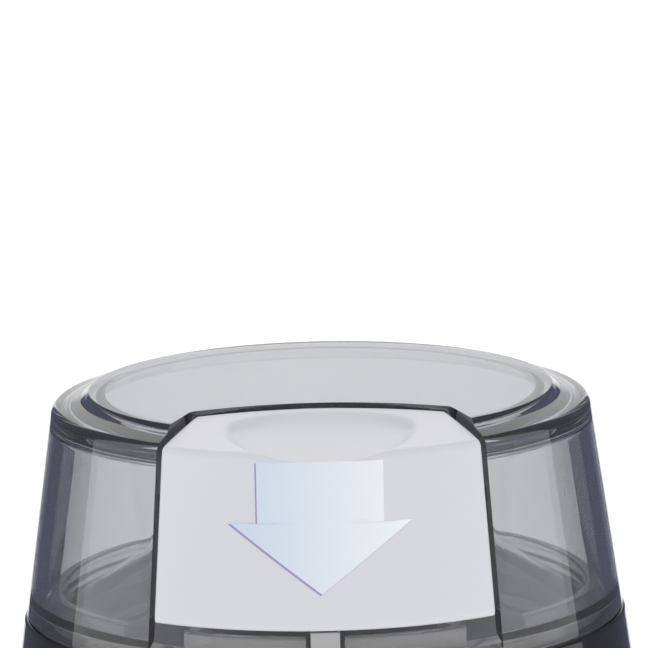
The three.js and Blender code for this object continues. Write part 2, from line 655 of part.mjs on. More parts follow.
function microswitch() {
  const { half, front, back, low, high } = SWITCH;
  return box(-half, half, front, back, low, high).subtract(pin(0, ROD_Y, 1.2, low + 0.6, high + 1, 12));
}

function switchPlunger() {
  return pin(0, ROD_Y, 1.0, SWITCH.low + 4.4, ROD.low - GAP, 12);
}

// ---- Assembly -----------------------------------------------------------------------------
addNode('lid_cover', lidCover(), SMOKE);
addNode('lid_inner_cup', innerCupWithFittings(), CLEAR);
addNode('lid_seal', lidSeal(), SILICONE);

addNode('push_key', pushKey(), WHITE);
addNode('key_plunger', keyPlunger(), GREY);
[-1, 1].forEach((side) => {
  const { x, y } = SPRING_POST;
  const name = side < 0 ? 'left' : 'right';
  const spring = coilSpring(side * x, y, 1.9, 0.32, SEAM_Z + 6, KEY_INSIDE_Z - GAP, 6);
  addNode(`key_spring_${name}`, spring, SPRING_STEEL);
});

addNode('base_collar', baseCollar(), GLOSS_BLACK);
addNode('base_housing', baseHousing(), SATIN_BLACK);
addNode('bottom_cover', bottomCover(), DARK_NYLON);
FOOT_PLACES.forEach((place, i) => addNode(`rubber_foot_${i + 1}`, rubberFoot(place), RUBBER));
around(BOTTOM_SCREWS, (a, i) => {
  const [x, y] = [BOTTOM_SCREW_R * Math.cos(a), BOTTOM_SCREW_R * Math.sin(a)];
  const screw = screwUp(x, y, 2.8, FOOT_PLATE_Z + 0.1, FOOT_PLATE_Z + 1.4, 1.35, 16.5);
  addNode(`bottom_screw_${i + 1}`, screw, STEEL);
}, BOTTOM_SCREW_START);
addNode('cord_gland', cordGland(), RUBBER);

addNode('bowl', bowl(), STEEL);
addNode('shaft_seal', shaftSeal(), RUBBER);
addNode('blade_spacer', bladeSpacer(), STEEL);
addNode('blade', blade(), STEEL);
addNode('blade_nut', bladeNut(), DARK_NYLON);

addNode('drive_shaft', driveShaft(), STEEL);
addNode('rotor_core', rotorCore(), LAMINATION);
addNode('rotor_winding_lower', rotorWinding(38, STATOR_Z + 0.4), COPPER);
addNode('rotor_winding_upper', rotorWinding(STATOR_TOP_Z - 0.4, 72), COPPER);
addNode('commutator', commutator(), COPPER);
addNode('cooling_fan', coolingFan(), DARK_NYLON);
addNode('upper_bearing', bearing(DECK_Z - 2.5, DECK_Z + 3.3 + 0.3, 6), BRASS);
addNode('lower_bearing', bearing(16.5, 22, 6), BRASS);
addNode('stator_core', statorCore(), LAMINATION);
addNode('field_coil_left', fieldCoil(-1), COPPER);
addNode('field_coil_right', fieldCoil(1), COPPER);
addNode('motor_deck', motorDeck(), DARK_NYLON);
addNode('lower_bracket', lowerBracket(), DARK_NYLON);
[-1, 1].forEach((side) => {
  const name = side < 0 ? 'front' : 'rear';
  addNode(`motor_bolt_${name}`, motorBolt(side), STEEL);
  addNode(`motor_nut_${name}`, motorNut(side), STEEL);
});
[-1, 1].forEach((side) => {
  const name = side < 0 ? 'left' : 'right';
  addNode(`brush_holder_${name}`, brushHolder(side), BRASS);
  addNode(`carbon_brush_${name}`, brush(side), CARBON);
});
around(3, (a, i) => {
  addNode(`deck_screw_${i + 1}`, deckScrew(a), STEEL);
  addNode(`deck_mount_${i + 1}`, deckMount(a), RUBBER);
}, Math.PI / 2);

addNode('switch_rod', switchRod(), GREY);
addNode('rod_spring', coilSpring(0, ROD_Y, 2.1, 0.3, 109.8, ROD.flangeZ - GAP, 5), SPRING_STEEL);
addNode('switch_bracket', switchBracket(), STEEL);
addNode('microswitch', microswitch(), SATIN_BLACK);
addNode('switch_plunger', switchPlunger(), WHITE);

export default model;
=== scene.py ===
import json
import math

import bmesh
import bpy
import numpy as np
from mathutils import Matrix, Vector


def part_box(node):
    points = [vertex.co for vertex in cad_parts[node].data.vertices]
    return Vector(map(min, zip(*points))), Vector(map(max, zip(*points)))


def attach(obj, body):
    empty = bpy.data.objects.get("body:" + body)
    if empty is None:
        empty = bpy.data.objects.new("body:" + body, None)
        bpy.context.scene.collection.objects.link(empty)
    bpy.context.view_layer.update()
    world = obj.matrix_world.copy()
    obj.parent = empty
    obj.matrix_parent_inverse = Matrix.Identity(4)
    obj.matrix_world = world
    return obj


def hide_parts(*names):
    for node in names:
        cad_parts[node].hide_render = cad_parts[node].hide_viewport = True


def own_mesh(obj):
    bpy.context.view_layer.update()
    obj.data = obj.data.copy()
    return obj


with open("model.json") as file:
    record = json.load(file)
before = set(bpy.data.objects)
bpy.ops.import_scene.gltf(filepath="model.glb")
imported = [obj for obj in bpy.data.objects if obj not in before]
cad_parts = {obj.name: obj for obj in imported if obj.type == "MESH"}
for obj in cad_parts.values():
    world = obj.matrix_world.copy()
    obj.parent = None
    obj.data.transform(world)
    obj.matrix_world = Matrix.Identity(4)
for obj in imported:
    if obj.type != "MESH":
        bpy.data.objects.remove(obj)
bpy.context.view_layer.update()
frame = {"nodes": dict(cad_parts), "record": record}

# ---- Sizes: metres, from the frame and a few lid dimensions ---------------------------
MM = 0.001
SEAM_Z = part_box("base_collar")[1].z
LID_HEIGHT = 30.7 * MM  # seam to the lid's top edge
TOP_Z = SEAM_Z + LID_HEIGHT
SEAM_R = 43.0 * MM
TOP_R = 38.63 * MM
GAP = 0.3 * MM
WALL = 2.4 * MM
TOP_PLATE = 2.6 * MM
PLATEAU_FOOT_R = 34.5 * MM  # the raised middle of the lid's top
PLATEAU_TOP_R = 33.2 * MM
PLATEAU_FOOT_RISE = 0.8 * MM  # how far the margin climbs from the edge to its foot
PLATEAU_HEIGHT = 1.9 * MM
KEY_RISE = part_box("push_key")[1].z - TOP_Z  # how much higher the key is at its back
PLATEAU_UNDER_Z = TOP_Z + PLATEAU_HEIGHT - TOP_PLATE

KEY_BOTTOM_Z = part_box("push_key")[0].z
KEY_FRONT_HALF = 22.3 * MM  # half-width at the front top edge
KEY_FRONT_Y = -31.6 * MM
KEY_SIDE_SLOPE = 0.326  # how fast the sides close in towards the back
KEY_DRAFT = 0.025  # how fast they open out below the top
KEY_BACK_HALF = 17.7 * MM
KEY_BACK_Y = -17.5 * MM
KEY_ARCH_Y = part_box("push_key")[1].y
KEY_SKIRT_BACK_Y = -29 * MM
KEY_SHORT_WALL_Z = TOP_Z - 7.5 * MM
SLOT_GAP = 0.55 * MM
DIMPLE_Y = -24 * MM
DIMPLE_HALF = 13.2 * MM
DIMPLE_FRONT = 16.5 * MM
DIMPLE_BACK = 9 * MM
DIMPLE_DEPTH = 2.6 * MM
RAMP_FRONT_Y = 1.6 * MM - TOP_R
SPRING_X = 17.3 * MM

CONE_SLOPE = (TOP_R - SEAM_R) / LID_HEIGHT
CONE_TILT = math.atan(-CONE_SLOPE)


def lid_radius(z):
    return SEAM_R + (z - SEAM_Z) * CONE_SLOPE


# ---- Mesh helpers ----------------------------------------------------------------------
def new_object(name, verts, faces):
    mesh = bpy.data.meshes.new(name)
    mesh.from_pydata([tuple(v) for v in verts], [], [tuple(f) for f in faces])
    mesh.validate()
    obj = bpy.data.objects.new(name, mesh)
    bpy.context.scene.collection.objects.link(obj)
    return obj


def fix_normals(obj):
    bm = bmesh.new()
    bm.from_mesh(obj.data)
    bmesh.ops.recalc_face_normals(bm, faces=bm.faces)
    bm.to_mesh(obj.data)
    bm.free()
    return obj


def rounded(corners, steps=5):
    """A closed outline whose corners (a, b, fillet) are arcs of that radius."""
    points = []
    count = len(corners)
    for i, (a, b, fillet) in enumerate(corners):
        here = Vector((a, b))
        before = Vector(corners[i - 1][:2]) - here
        after = Vector(corners[(i + 1) % count][:2]) - here
        if fillet <= 0:
            points.append(here)
            continue
        angle = before.angle(after)
        reach = min(fillet / math.tan(angle / 2), 0.49 * before.length, 0.49 * after.length)
        radius = reach * math.tan(angle / 2)
        middle = here + (before.normalized() + after.normalized()).normalized() * (
            radius / math.sin(angle / 2)
        )
        start = here + before.normalized() * reach - middle
        turn = start.angle_signed(here + after.normalized() * reach - middle)
        for k in range(steps + 1):
            points.append(middle + Matrix.Rotation(-turn * k / steps, 2) @ start)
    return [(p.x, p.y) for p in points]


EVEN_TURN = [math.radians(a) for a in range(0, 360, 2)]


def turned(name, outline, angles=None):
    """A closed outline of (radius, height), or one that ends on the axis, turned about Z."""
    angles = EVEN_TURN if angles is None else angles
    verts, rows = [], []
    for radius, height in outline:
        if radius < 1e-9:
            rows.append([len(verts)] * len(angles))
            verts.append((0, 0, height))
            continue
        rows.append(list(range(len(verts), len(verts) + len(angles))))
        verts += [(radius * math.sin(a), -radius * math.cos(a), height) for a in angles]
    faces = []
    open_ended = outline[0][0] < 1e-9 and outline[-1][0] < 1e-9
    pairs = zip(rows, rows[1:]) if open_ended else zip(rows, rows[1:] + rows[:1])
    for low, high in pairs:
        for i in range(len(angles)):
            j = (i + 1) % len(angles)
            quad = [low[i], low[j], high[j], high[i]]
            face = [v for k, v in enumerate(quad) if v != quad[k - 1]]
            if len(face) > 2:
                faces.append(face)
    return fix_normals(new_object(name, verts, faces))


def prism(name, outline, low, high, widen=0.0):
    """An outline of (x, y) raised from low to high; its foot is wider by widen per metre."""
    count = len(outline)
    verts = []
    for z in (low, high):
        grow = widen * (high - z)
        verts += [(x + math.copysign(grow, x) if abs(x) > 1e-6 else x, y, z) for x, y in outline]
    faces = [list(range(count))[::-1], list(range(count, 2 * count))]
    faces += [[i, (i + 1) % count, count + (i + 1) % count, count + i] for i in range(count)]
    return fix_normals(new_object(name, verts, faces))


def block(name, low, high):
    (x0, y0, z0), (x1, y1, z1) = low, high
    return prism(name, [(x0, y0), (x1, y0), (x1, y1), (x0, y1)], z0, z1)


def pin(name, x, y, radius, low, high, sides=32):
    ring = [2 * math.pi * i / sides for i in range(sides)]
    outline = [(x + radius * math.cos(a), y + radius * math.sin(a)) for a in ring]
    return prism(name, outline, low, high)


def settle(obj):
    """Applies the object's modifiers to its mesh."""
    bpy.context.view_layer.update()
    graph = bpy.context.evaluated_depsgraph_get()
    done = bpy.data.meshes.new_from_object(obj.evaluated_get(graph), depsgraph=graph)
    obj.modifiers.clear()
    obj.data = done
    return obj


def combine(obj, others, operation):
    for other in others:
        mod = obj.modifiers.new("join", "BOOLEAN")
        mod.object, mod.operation, mod.solver = other, operation, "EXACT"
    settle(obj)
    for other in others:
        bpy.data.objects.remove(other)
    return obj


def soften(obj, width, segments=2, angle=35):
    """Rounds an object's sharp edges and keeps its flat faces flat to the light."""
    obj.data.polygons.foreach_set("use_smooth", [True] * len(obj.data.polygons))
    mod = obj.modifiers.new("edge", "BEVEL")
    mod.width, mod.segments = width, segments
    mod.limit_method, mod.angle_limit = "ANGLE", math.radians(angle)
    mod.harden_normals = True
    weighted = obj.modifiers.new("flats", "WEIGHTED_NORMAL")
    weighted.keep_sharp = True
    return obj


def smooth(obj, angle=32):
    obj.data.polygons.foreach_set("use_smooth", [True] * len(obj.data.polygons))
    obj.data.set_sharp_from_angle(angle=math.radians(angle))
    return obj


def finish_piece(obj, body, slot, material, *nodes):
    obj.data.materials.clear()
    obj.data.materials.append(material)
    if nodes:
        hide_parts(*nodes)
    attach(obj, body)
    return obj


# ---- Materials -------------------------------------------------------------------------
def new_material(name):
    mat = bpy.data.materials.new(name)
    mat.use_nodes = True
    nodes = mat.node_tree.nodes
    return mat, mat.node_tree, nodes["Principled BSDF"], nodes["Material Output"]


def noise(tree, scale, detail=3.0, stretch=(1, 1, 1)):
    where = tree.nodes.new("ShaderNodeTexCoord")
    mapping = tree.nodes.new("ShaderNodeMapping")
    mapping.inputs["Scale"].default_value = stretch
    texture = tree.nodes.new("ShaderNodeTexNoise")
    texture.inputs["Scale"].default_value = scale
    texture.inputs["Detail"].default_value = detail
    tree.links.new(where.outputs["Object"], mapping.inputs["Vector"])
    tree.links.new(mapping.outputs["Vector"], texture.inputs["Vector"])
    return texture.outputs["Fac"]


def ranged(tree, value, low, high):
    node = tree.nodes.new("ShaderNodeMapRange")
    tree.links.new(value, node.inputs["Value"])
    node.inputs["To Min"].default_value = low
    node.inputs["To Max"].default_value = high
    return node.outputs["Result"]


def blended(tree, factor, first, second):
    node = tree.nodes.new("ShaderNodeMix")
    node.data_type = "RGBA"
    tree.links.new(factor, node.inputs["Factor"])
    node.inputs["A"].default_value = (*first, 1)
    node.inputs["B"].default_value = (*second, 1)
    return node.outputs["Result"]


def bumped(tree, shader, height, distance, strength=1.0):
    bump = tree.nodes.new("ShaderNodeBump")
    bump.inputs["Distance"].default_value = distance
    bump.inputs["Strength"].default_value = strength
    tree.links.new(height, bump.inputs["Height"])
    tree.links.new(bump.outputs["Normal"], shader.inputs["Normal"])


def moulded(name, dark, light, rough, grain, metal=0.0, scale=900, depth=0.00002, stretch=(1, 1, 1)):
    """Opaque stuff with a slight colour mottle, uneven gloss and a fine surface grain."""
    mat, tree, shader, _ = new_material(name)
    tree.links.new(blended(tree, noise(tree, 60, 4), dark, light), shader.inputs["Base Color"])
    tree.links.new(ranged(tree, noise(tree, 35, 5), *rough), shader.inputs["Roughness"])
    shader.inputs["Metallic"].default_value = metal
    bumped(tree, shader, noise(tree, scale, 3, stretch), depth, grain)
    return mat


def clear_plastic(name, face, edge, absorb, density, clarity):
    """Clear tinted plastic: it absorbs along the path, is deeper in colour at grazing
    angles, and lets lamps through so that what is inside stays lit."""
    mat, tree, shader, output = new_material(name)
    weight = tree.nodes.new("ShaderNodeLayerWeight")
    weight.inputs["Blend"].default_value = 0.35
    tree.links.new(blended(tree, weight.outputs["Facing"], face, edge), shader.inputs["Base Color"])
    tree.links.new(ranged(tree, noise(tree, 25, 4), 0.0, 0.02), shader.inputs["Roughness"])
    shader.inputs["Transmission Weight"].default_value = clarity
    shader.inputs["IOR"].default_value = 1.5
    through = tree.nodes.new("ShaderNodeBsdfTransparent")
    through.inputs["Color"].default_value = (*face, 1)
    path = tree.nodes.new("ShaderNodeLightPath")
    mix = tree.nodes.new("ShaderNodeMixShader")
    tree.links.new(path.outputs["Is Shadow Ray"], mix.inputs["Fac"])
    tree.links.new(shader.outputs["BSDF"], mix.inputs[1])
    tree.links.new(through.outputs["BSDF"], mix.inputs[2])
    tree.links.new(mix.outputs["Shader"], output.inputs["Surface"])
    volume = tree.nodes.new("ShaderNodeVolumeAbsorption")
    volume.inputs["Color"].default_value = (*absorb, 1)
    volume.inputs["Density"].default_value = density
    tree.links.new(volume.outputs["Volume"], output.inputs["Volume"])
    return mat


SMOKE = clear_plastic("smoke_plastic", (0.79, 0.79, 0.795), (0.42, 0.43, 0.48), (0.0, 0.03, 0.12), 35, 0.97)
CLEAR = clear_plastic("clear_plastic", (0.97, 0.97, 0.97), (0.55, 0.56, 0.62), (0.0, 0.02, 0.06), 30, 0.84)
WHITE = moulded("white_abs", (0.725, 0.725, 0.79), (0.755, 0.755, 0.82), (0.28, 0.36), 0.12, scale=2500)
GREY = moulded("grey_pom", (0.42, 0.42, 0.43), (0.47, 0.47, 0.48), (0.32, 0.42), 0.15)
GLOSS_BLACK = moulded("gloss_black", (0.018, 0.019, 0.022), (0.024, 0.026, 0.029), (0.06, 0.12), 0.05)
SATIN_BLACK = moulded("satin_black", (0.018, 0.019, 0.021), (0.027, 0.028, 0.031), (0.32, 0.44), 0.5,
                      scale=1500)
NYLON = moulded("dark_nylon", (0.03, 0.031, 0.034), (0.042, 0.043, 0.047), (0.45, 0.6), 0.4)
RUBBER = moulded("rubber", (0.012, 0.012, 0.013), (0.022, 0.022, 0.024), (0.7, 0.9), 0.6)
SILICONE = moulded("silicone", (0.60, 0.61, 0.63), (0.66, 0.67, 0.69), (0.5, 0.62), 0.2)
STEEL = moulded("stainless", (0.52, 0.52, 0.53), (0.60, 0.60, 0.61), (0.16, 0.30), 0.35, 1.0, 220,
                0.00002, (1, 1, 30))
SPRING = moulded("spring_steel", (0.42, 0.43, 0.45), (0.52, 0.53, 0.55), (0.2, 0.34), 0.2, 1.0)
LAMINATION = moulded("lamination", (0.13, 0.13, 0.14), (0.22, 0.22, 0.23), (0.35, 0.55), 0.8, 0.8, 40,
                     0.0002, (0.01, 0.01, 50))
COPPER = moulded("copper", (0.38, 0.14, 0.06), (0.55, 0.24, 0.11), (0.25, 0.45), 0.9, 0.9, 300,
                 0.0002, (1, 1, 6))
BRASS = moulded("brass", (0.50, 0.36, 0.13), (0.60, 0.45, 0.18), (0.22, 0.4), 0.3, 1.0)
CARBON = moulded("carbon", (0.012, 0.012, 0.013), (0.03, 0.03, 0.032), (0.55, 0.75), 0.6)

SLOT_MATERIALS = {
    "smoke_plastic": SMOKE, "clear_plastic": CLEAR, "white_plastic": WHITE, "grey_plastic": GREY,
    "gloss_black": GLOSS_BLACK, "satin_black": SATIN_BLACK, "dark_nylon": NYLON, "rubber": RUBBER,
    "silicone": SILICONE, "stainless": STEEL, "spring_steel": SPRING, "lamination": LAMINATION,
    "copper": COPPER, "brass": BRASS, "carbon": CARBON,
}


# ---- Camera ----------------------------------------------------------------------------
def make_camera():
    pitch, roll, distance = math.radians(10.81), math.radians(1.22), 1.0
    aim = Vector((0.74 * MM, 0, SEAM_Z + 41.5 * MM))
    data = bpy.data.cameras.new("camera")
    data.lens, data.sensor_width = 388, 36
    camera = bpy.data.objects.new("camera", data)
    turn = Matrix.Rotation(math.pi / 2 - pitch, 4, "X") @ Matrix.Rotation(-roll, 4, "Z")
    back = Vector((0, -math.cos(pitch), math.sin(pitch))) * distance
    camera.matrix_world = Matrix.Translation(aim + back) @ turn
    bpy.context.scene.collection.objects.link(camera)
    bpy.context.scene.camera = camera


# ---- Lid ---------------------------------------------------------------------------------
def key_outline(offset, radius):
    """The key's plan at its top, grown by offset, with its two back corners rounded."""
    front_y = -50 * MM
    front_half = KEY_FRONT_HALF + KEY_SIDE_SLOPE * (KEY_FRONT_Y - front_y) + offset
    back_half = KEY_BACK_HALF + offset
    back_y = KEY_BACK_Y + offset * 0.5
    arch = []
    for i in range(1, 12):
        t = 1 - 2 * i / 12
        arch.append((back_half * t, back_y + (KEY_ARCH_Y + offset - back_y) * (1 - t * t), 0))
    corners = [(-front_half, front_y, 0), (front_half, front_y, 0), (back_half, back_y, radius)]
    return rounded(corners + arch + [(-back_half, back_y, radius)])


def slot_angles():
    """Turning angles with none close to the slot's upright edges, so its cut is clean."""
    slot_low, slot_high = 34.0, 37.4
    kept = []
    for a in EVEN_TURN:
        degrees = math.degrees(a) if a <= math.pi else math.degrees(a) - 360
        if not slot_low < abs(degrees) < slot_high:
            kept.append(a)
    return kept


def make_lid_shell():
    low = SEAM_Z + GAP
    inside_top = TOP_Z - TOP_PLATE
    step_z = SEAM_Z + 3.2 * MM
    profile = rounded([
        (0, TOP_Z + PLATEAU_HEIGHT, 0), (PLATEAU_TOP_R, TOP_Z + PLATEAU_HEIGHT, 0.35 * MM),
        (PLATEAU_FOOT_R, TOP_Z + PLATEAU_FOOT_RISE, 0.5 * MM), (lid_radius(TOP_Z), TOP_Z, 1.6 * MM),
        (lid_radius(low), low, 0.25 * MM), (42.0 * MM, low, 0.15 * MM),
        (42.0 * MM, step_z - 0.8 * MM, 0.3 * MM), (lid_radius(step_z) - WALL, step_z, 0.3 * MM),
        (lid_radius(inside_top) - WALL, inside_top, 1.6 * MM),
        (PLATEAU_TOP_R - 1.2 * MM, inside_top, 0.5 * MM),
        (PLATEAU_TOP_R - 2.0 * MM, PLATEAU_UNDER_Z, 0.6 * MM), (0, PLATEAU_UNDER_Z, 0),
    ])
    lid = turned("lid_shell", profile, slot_angles())
    slot = prism("slot", key_outline(SLOT_GAP, 1.6 * MM), SEAM_Z + 1.5 * MM, TOP_Z + 5 * MM, KEY_DRAFT)
    combine(lid, [slot], "DIFFERENCE")
    soften(lid, 0.42 * MM, 3)
    return finish_piece(lid, "lid", "smoke_plastic", SMOKE, "lid_cover")


DOME = [(37.3, 1.2), (31.5, 5.0), (25.2, 8.9), (17, 12.8), (8, 15.0), (0, 15.6)]


def curve_through(points, steps=6):
    """A smooth line through the points (Catmull-Rom)."""
    pts = [Vector(p) for p in points]
    pts = [2 * pts[0] - pts[1]] + pts + [2 * pts[-1] - pts[-2]]
    line = []
    for i in range(1, len(pts) - 2):
        p0, p1, p2, p3 = pts[i - 1:i + 3]
        for k in range(steps):
            t = k / steps
            line.append(0.5 * ((2 * p1) + (p2 - p0) * t + (2 * p0 - 5 * p1 + 4 * p2 - p3) * t * t
                               + (3 * p1 - p0 - 3 * p2 + p3) * t ** 3))
    return [(p.x, p.y) for p in line + [pts[-2]]]


def make_inner_dome():
    wall = 1.6 * MM
    outside = [(r * MM, SEAM_Z + z * MM) for r, z in curve_through(DOME)]
    outside[-1] = (0, outside[-1][1])
    inside = [(max(r - 1.3 * MM, 0), z - wall) for r, z in outside[::-1]][1:-2]
    skirt_z = SEAM_Z - 3.1 * MM
    foot = rounded([
        (34.3 * MM, SEAM_Z + 0.4 * MM, 0.3 * MM), (34.3 * MM, skirt_z, 0.4 * MM),
        (36.2 * MM, skirt_z, 0.4 * MM), (36.2 * MM, SEAM_Z + GAP, 0.2 * MM),
        (41.2 * MM, SEAM_Z + GAP, 0.2 * MM), (41.2 * MM, SEAM_Z + 2 * MM, 0.3 * MM),
        (38.2 * MM, SEAM_Z + 2 * MM, 0.4 * MM),
    ], 3)
    inside.insert(0, (0, outside[-1][1] - wall))
    dome = turned("inner_dome", inside + foot + outside)
    rim = turned("rim", rounded([
        (37.6 * MM, SEAM_Z + 1.6 * MM, 0), (39.3 * MM, SEAM_Z + 1.6 * MM, 0),
        (39.3 * MM, SEAM_Z + 4.6 * MM, 0.3 * MM), (37.6 * MM, SEAM_Z + 4.6 * MM, 0.3 * MM),
    ], 3))
    cut_low, cut_high = SEAM_Z + 2.05 * MM, SEAM_Z + 9 * MM
    notches = [block("notch", (-2.7 * MM, -45 * MM, cut_low), (2.7 * MM, -30 * MM, cut_high))]
    for side in (-1, 1):
        x0, x1 = sorted((side * 19.7 * MM, side * 27 * MM))
        notches.append(block("notch", (x0, -38 * MM, cut_low), (x1, -26 * MM, cut_high)))
    combine(rim, notches, "DIFFERENCE")
    posts = []
    for side in (-1, 1):
        x, y, half = side * SPRING_X, -29.8 * MM, 1.6 * MM
        low, high = SEAM_Z + 1.5 * MM, SEAM_Z + 5.6 * MM
        posts.append(block("post", (x - half, y - half, low), (x + half, y + half, high)))
        posts.append(pin("post", x, y, 1.1 * MM, SEAM_Z + 5.5 * MM, SEAM_Z + 15 * MM, 24))
    combine(dome, [rim] + posts, "UNION")
    plunger_way = block("way", (-2.7 * MM, -45 * MM, SEAM_Z - 1 * MM), (2.7 * MM, -37.9 * MM, SEAM_Z + 9 * MM))
    combine(dome, [plunger_way], "DIFFERENCE")
    soften(dome, 0.2 * MM, 2, 40)
    return finish_piece(dome, "lid", "clear_plastic", CLEAR, "lid_inner_cup")


# ---- Key -----------------------------------------------------------------------------------
def side_half(y, z):
    return KEY_FRONT_HALF - KEY_SIDE_SLOPE * (y - KEY_FRONT_Y) + KEY_DRAFT * (TOP_Z - z)


def back_edge(x):
    t = x / KEY_BACK_HALF
    return KEY_BACK_Y + (KEY_ARCH_Y - KEY_BACK_Y) * (1 - min(t * t, 1.6))


def ramp_height(y):
    """Height of the key's top where it isn't dished, climbing from front to back."""
    return TOP_Z + KEY_RISE * (y - RAMP_FRONT_Y) / (KEY_BACK_Y - RAMP_FRONT_Y)


def dimple_height(x, y):
    """Height of the finger dish let into the key's top, and a steep wall outside it."""
    reach = DIMPLE_FRONT if y < DIMPLE_Y else DIMPLE_BACK
    away = (x / DIMPLE_HALF) ** 2 + ((y - DIMPLE_Y) / reach) ** 2
    return ramp_height(y) + (-DIMPLE_DEPTH * math.sqrt(1 - away) if away < 1 else (away - 1) * 3 * MM)


def soft_min(a, b, reach):
    h = max(reach - abs(a - b), 0) / reach
    return min(a, b) - h * h * reach / 4


def key_rows(inset, top, bottom, edge_r, rim_r):
    """Rows of the key's outer sheet, each a function of x and depth giving (y, z): up the
    front, over the top front edge, back along the top, and down at the back."""
    rows = []
    arc_z = top - edge_r
    arc_r = lid_radius(arc_z) - inset - edge_r / math.cos(CONE_TILT)

    def front(z, sunk):
        return lambda x, depth: (-math.sqrt((lid_radius(z) - inset - sunk - depth) ** 2 - x * x), z)

    def over(angle):
        def place(x, depth):
            reach = max(edge_r - depth, 0)
            radius = arc_r + reach * math.cos(angle)
            return -math.sqrt(radius ** 2 - x * x), arc_z + reach * math.sin(angle)
        return place

    def along(t):
        def place(x, depth):
            start, end = -math.sqrt(arc_r ** 2 - x * x), back_edge(x) - inset - rim_r
            return start + (end - start) * t, top - depth + KEY_RISE * t
        return place

    def behind(angle):
        def place(x, depth):
            y = back_edge(x) - inset - rim_r + rim_r * math.sin(angle)
            return y, top + KEY_RISE - depth - rim_r * (1 - math.cos(angle))
        return place

    turns = [math.radians(a) for a in (90, 67.5, 45, 22.5)]
    if rim_r > 0:
        rows += [front(bottom + rim_r * (1 - math.sin(a)), rim_r * (1 - math.cos(a))) for a in turns]
    arc_start = arc_z + edge_r * math.sin(CONE_TILT)
    rows += [front(z, 0) for z in np.linspace(bottom + rim_r, arc_start, 40)[:-1]]
    rows += [over(a) for a in np.linspace(CONE_TILT, math.pi / 2, 9)[:-1]]
    rows += [along(t) for t in np.linspace(0, 1, 60)]
    if rim_r > 0:
        rows += [behind(a) for a in turns[::-1]]
    return rows


def key_block(name, inset, top, bottom, low, edge_r, rim_r, dished):
    """The key as one closed block. Behind KEY_SKIRT_BACK_Y its foot is at low."""
    turns = [math.radians(a) for a in (22.5, 45, 67.5, 90)] if rim_r > 0 else []
    columns = [(-1, a) for a in turns[::-1]] + [(f, None) for f in np.linspace(-1, 1, 61)]
    columns += [(1, a) for a in turns]
    verts, grid = [], []
    for row in key_rows(inset, top, bottom, edge_r, rim_r):
        line = []
        for share, angle in columns:
            depth = 0 if angle is None else rim_r * (1 - math.cos(angle))
            y, z, x = KEY_FRONT_Y, top, 0.0
            for _ in range(12):
                half = side_half(y, z) - inset - rim_r
                x = share * half if angle is None else share * (half + rim_r * math.sin(angle))
                y, z = row(x, depth)
            if dished:
                z = soft_min(z, dimple_height(x, y), 0.9 * MM)
            line.append(len(verts))
            verts.append((x, y, z))
        grid.append(line)
    faces = [
        [a[i], a[i + 1], b[i + 1], b[i]] for a, b in zip(grid, grid[1:]) for i in range(len(a) - 1)
    ]

    def add(x, y, z):
        verts.append((x, y, z))
        return len(verts) - 1

    foot = []
    for v in grid[-1]:
        foot.append(add(verts[v][0], verts[v][1], low))
    faces += [[grid[-1][i], grid[-1][i + 1], foot[i + 1], foot[i]] for i in range(len(foot) - 1)]
    corner = {}
    for side in (-1, 1):
        for z in dict.fromkeys((bottom, low)):
            half = side_half(KEY_SKIRT_BACK_Y, z) - inset
            corner[side, z] = add(side * half, KEY_SKIRT_BACK_Y, z)
    faces.append(grid[0] + [corner[1, bottom], corner[-1, bottom]])
    faces.append(foot + [corner[1, low], corner[-1, low]])
    if low > bottom:
        faces.append([corner[-1, bottom], corner[1, bottom], corner[1, low], corner[-1, low]])
    for side, i in ((-1, 0), (1, -1)):
        ends = list(dict.fromkeys((corner[side, low], corner[side, bottom])))
        faces.append([line[i] for line in grid] + [foot[i]] + ends)
    return fix_normals(new_object(name, verts, faces))


def make_key():
    key = key_block("key_shell", 0, TOP_Z, KEY_BOTTOM_Z, KEY_SHORT_WALL_Z, 1.2 * MM, 0.6 * MM, True)
    under = TOP_Z - DIMPLE_DEPTH - 2.4 * MM
    mouth = KEY_BOTTOM_Z - 1 * MM
    hollow = key_block("hollow", 2 * MM, under, mouth, mouth, 0.8 * MM, 0, False)
    combine(key, [hollow], "DIFFERENCE")
    return finish_piece(smooth(key, 40), "key", "white_plastic", WHITE, "push_key")


ARROW_TIP, ARROW_SHOULDER, ARROW_TOP = 11.35, 21.05, 29.5  # millimetres above the seam
ARROW_X = -0.3 * MM


def arrow_half(z):
    """Half-width of the arrow at a height above the seam, in millimetres."""
    if z > ARROW_SHOULDER:
        return 8.8
    return 12.7 * max(z - ARROW_TIP, 0) / (ARROW_SHOULDER - ARROW_TIP)


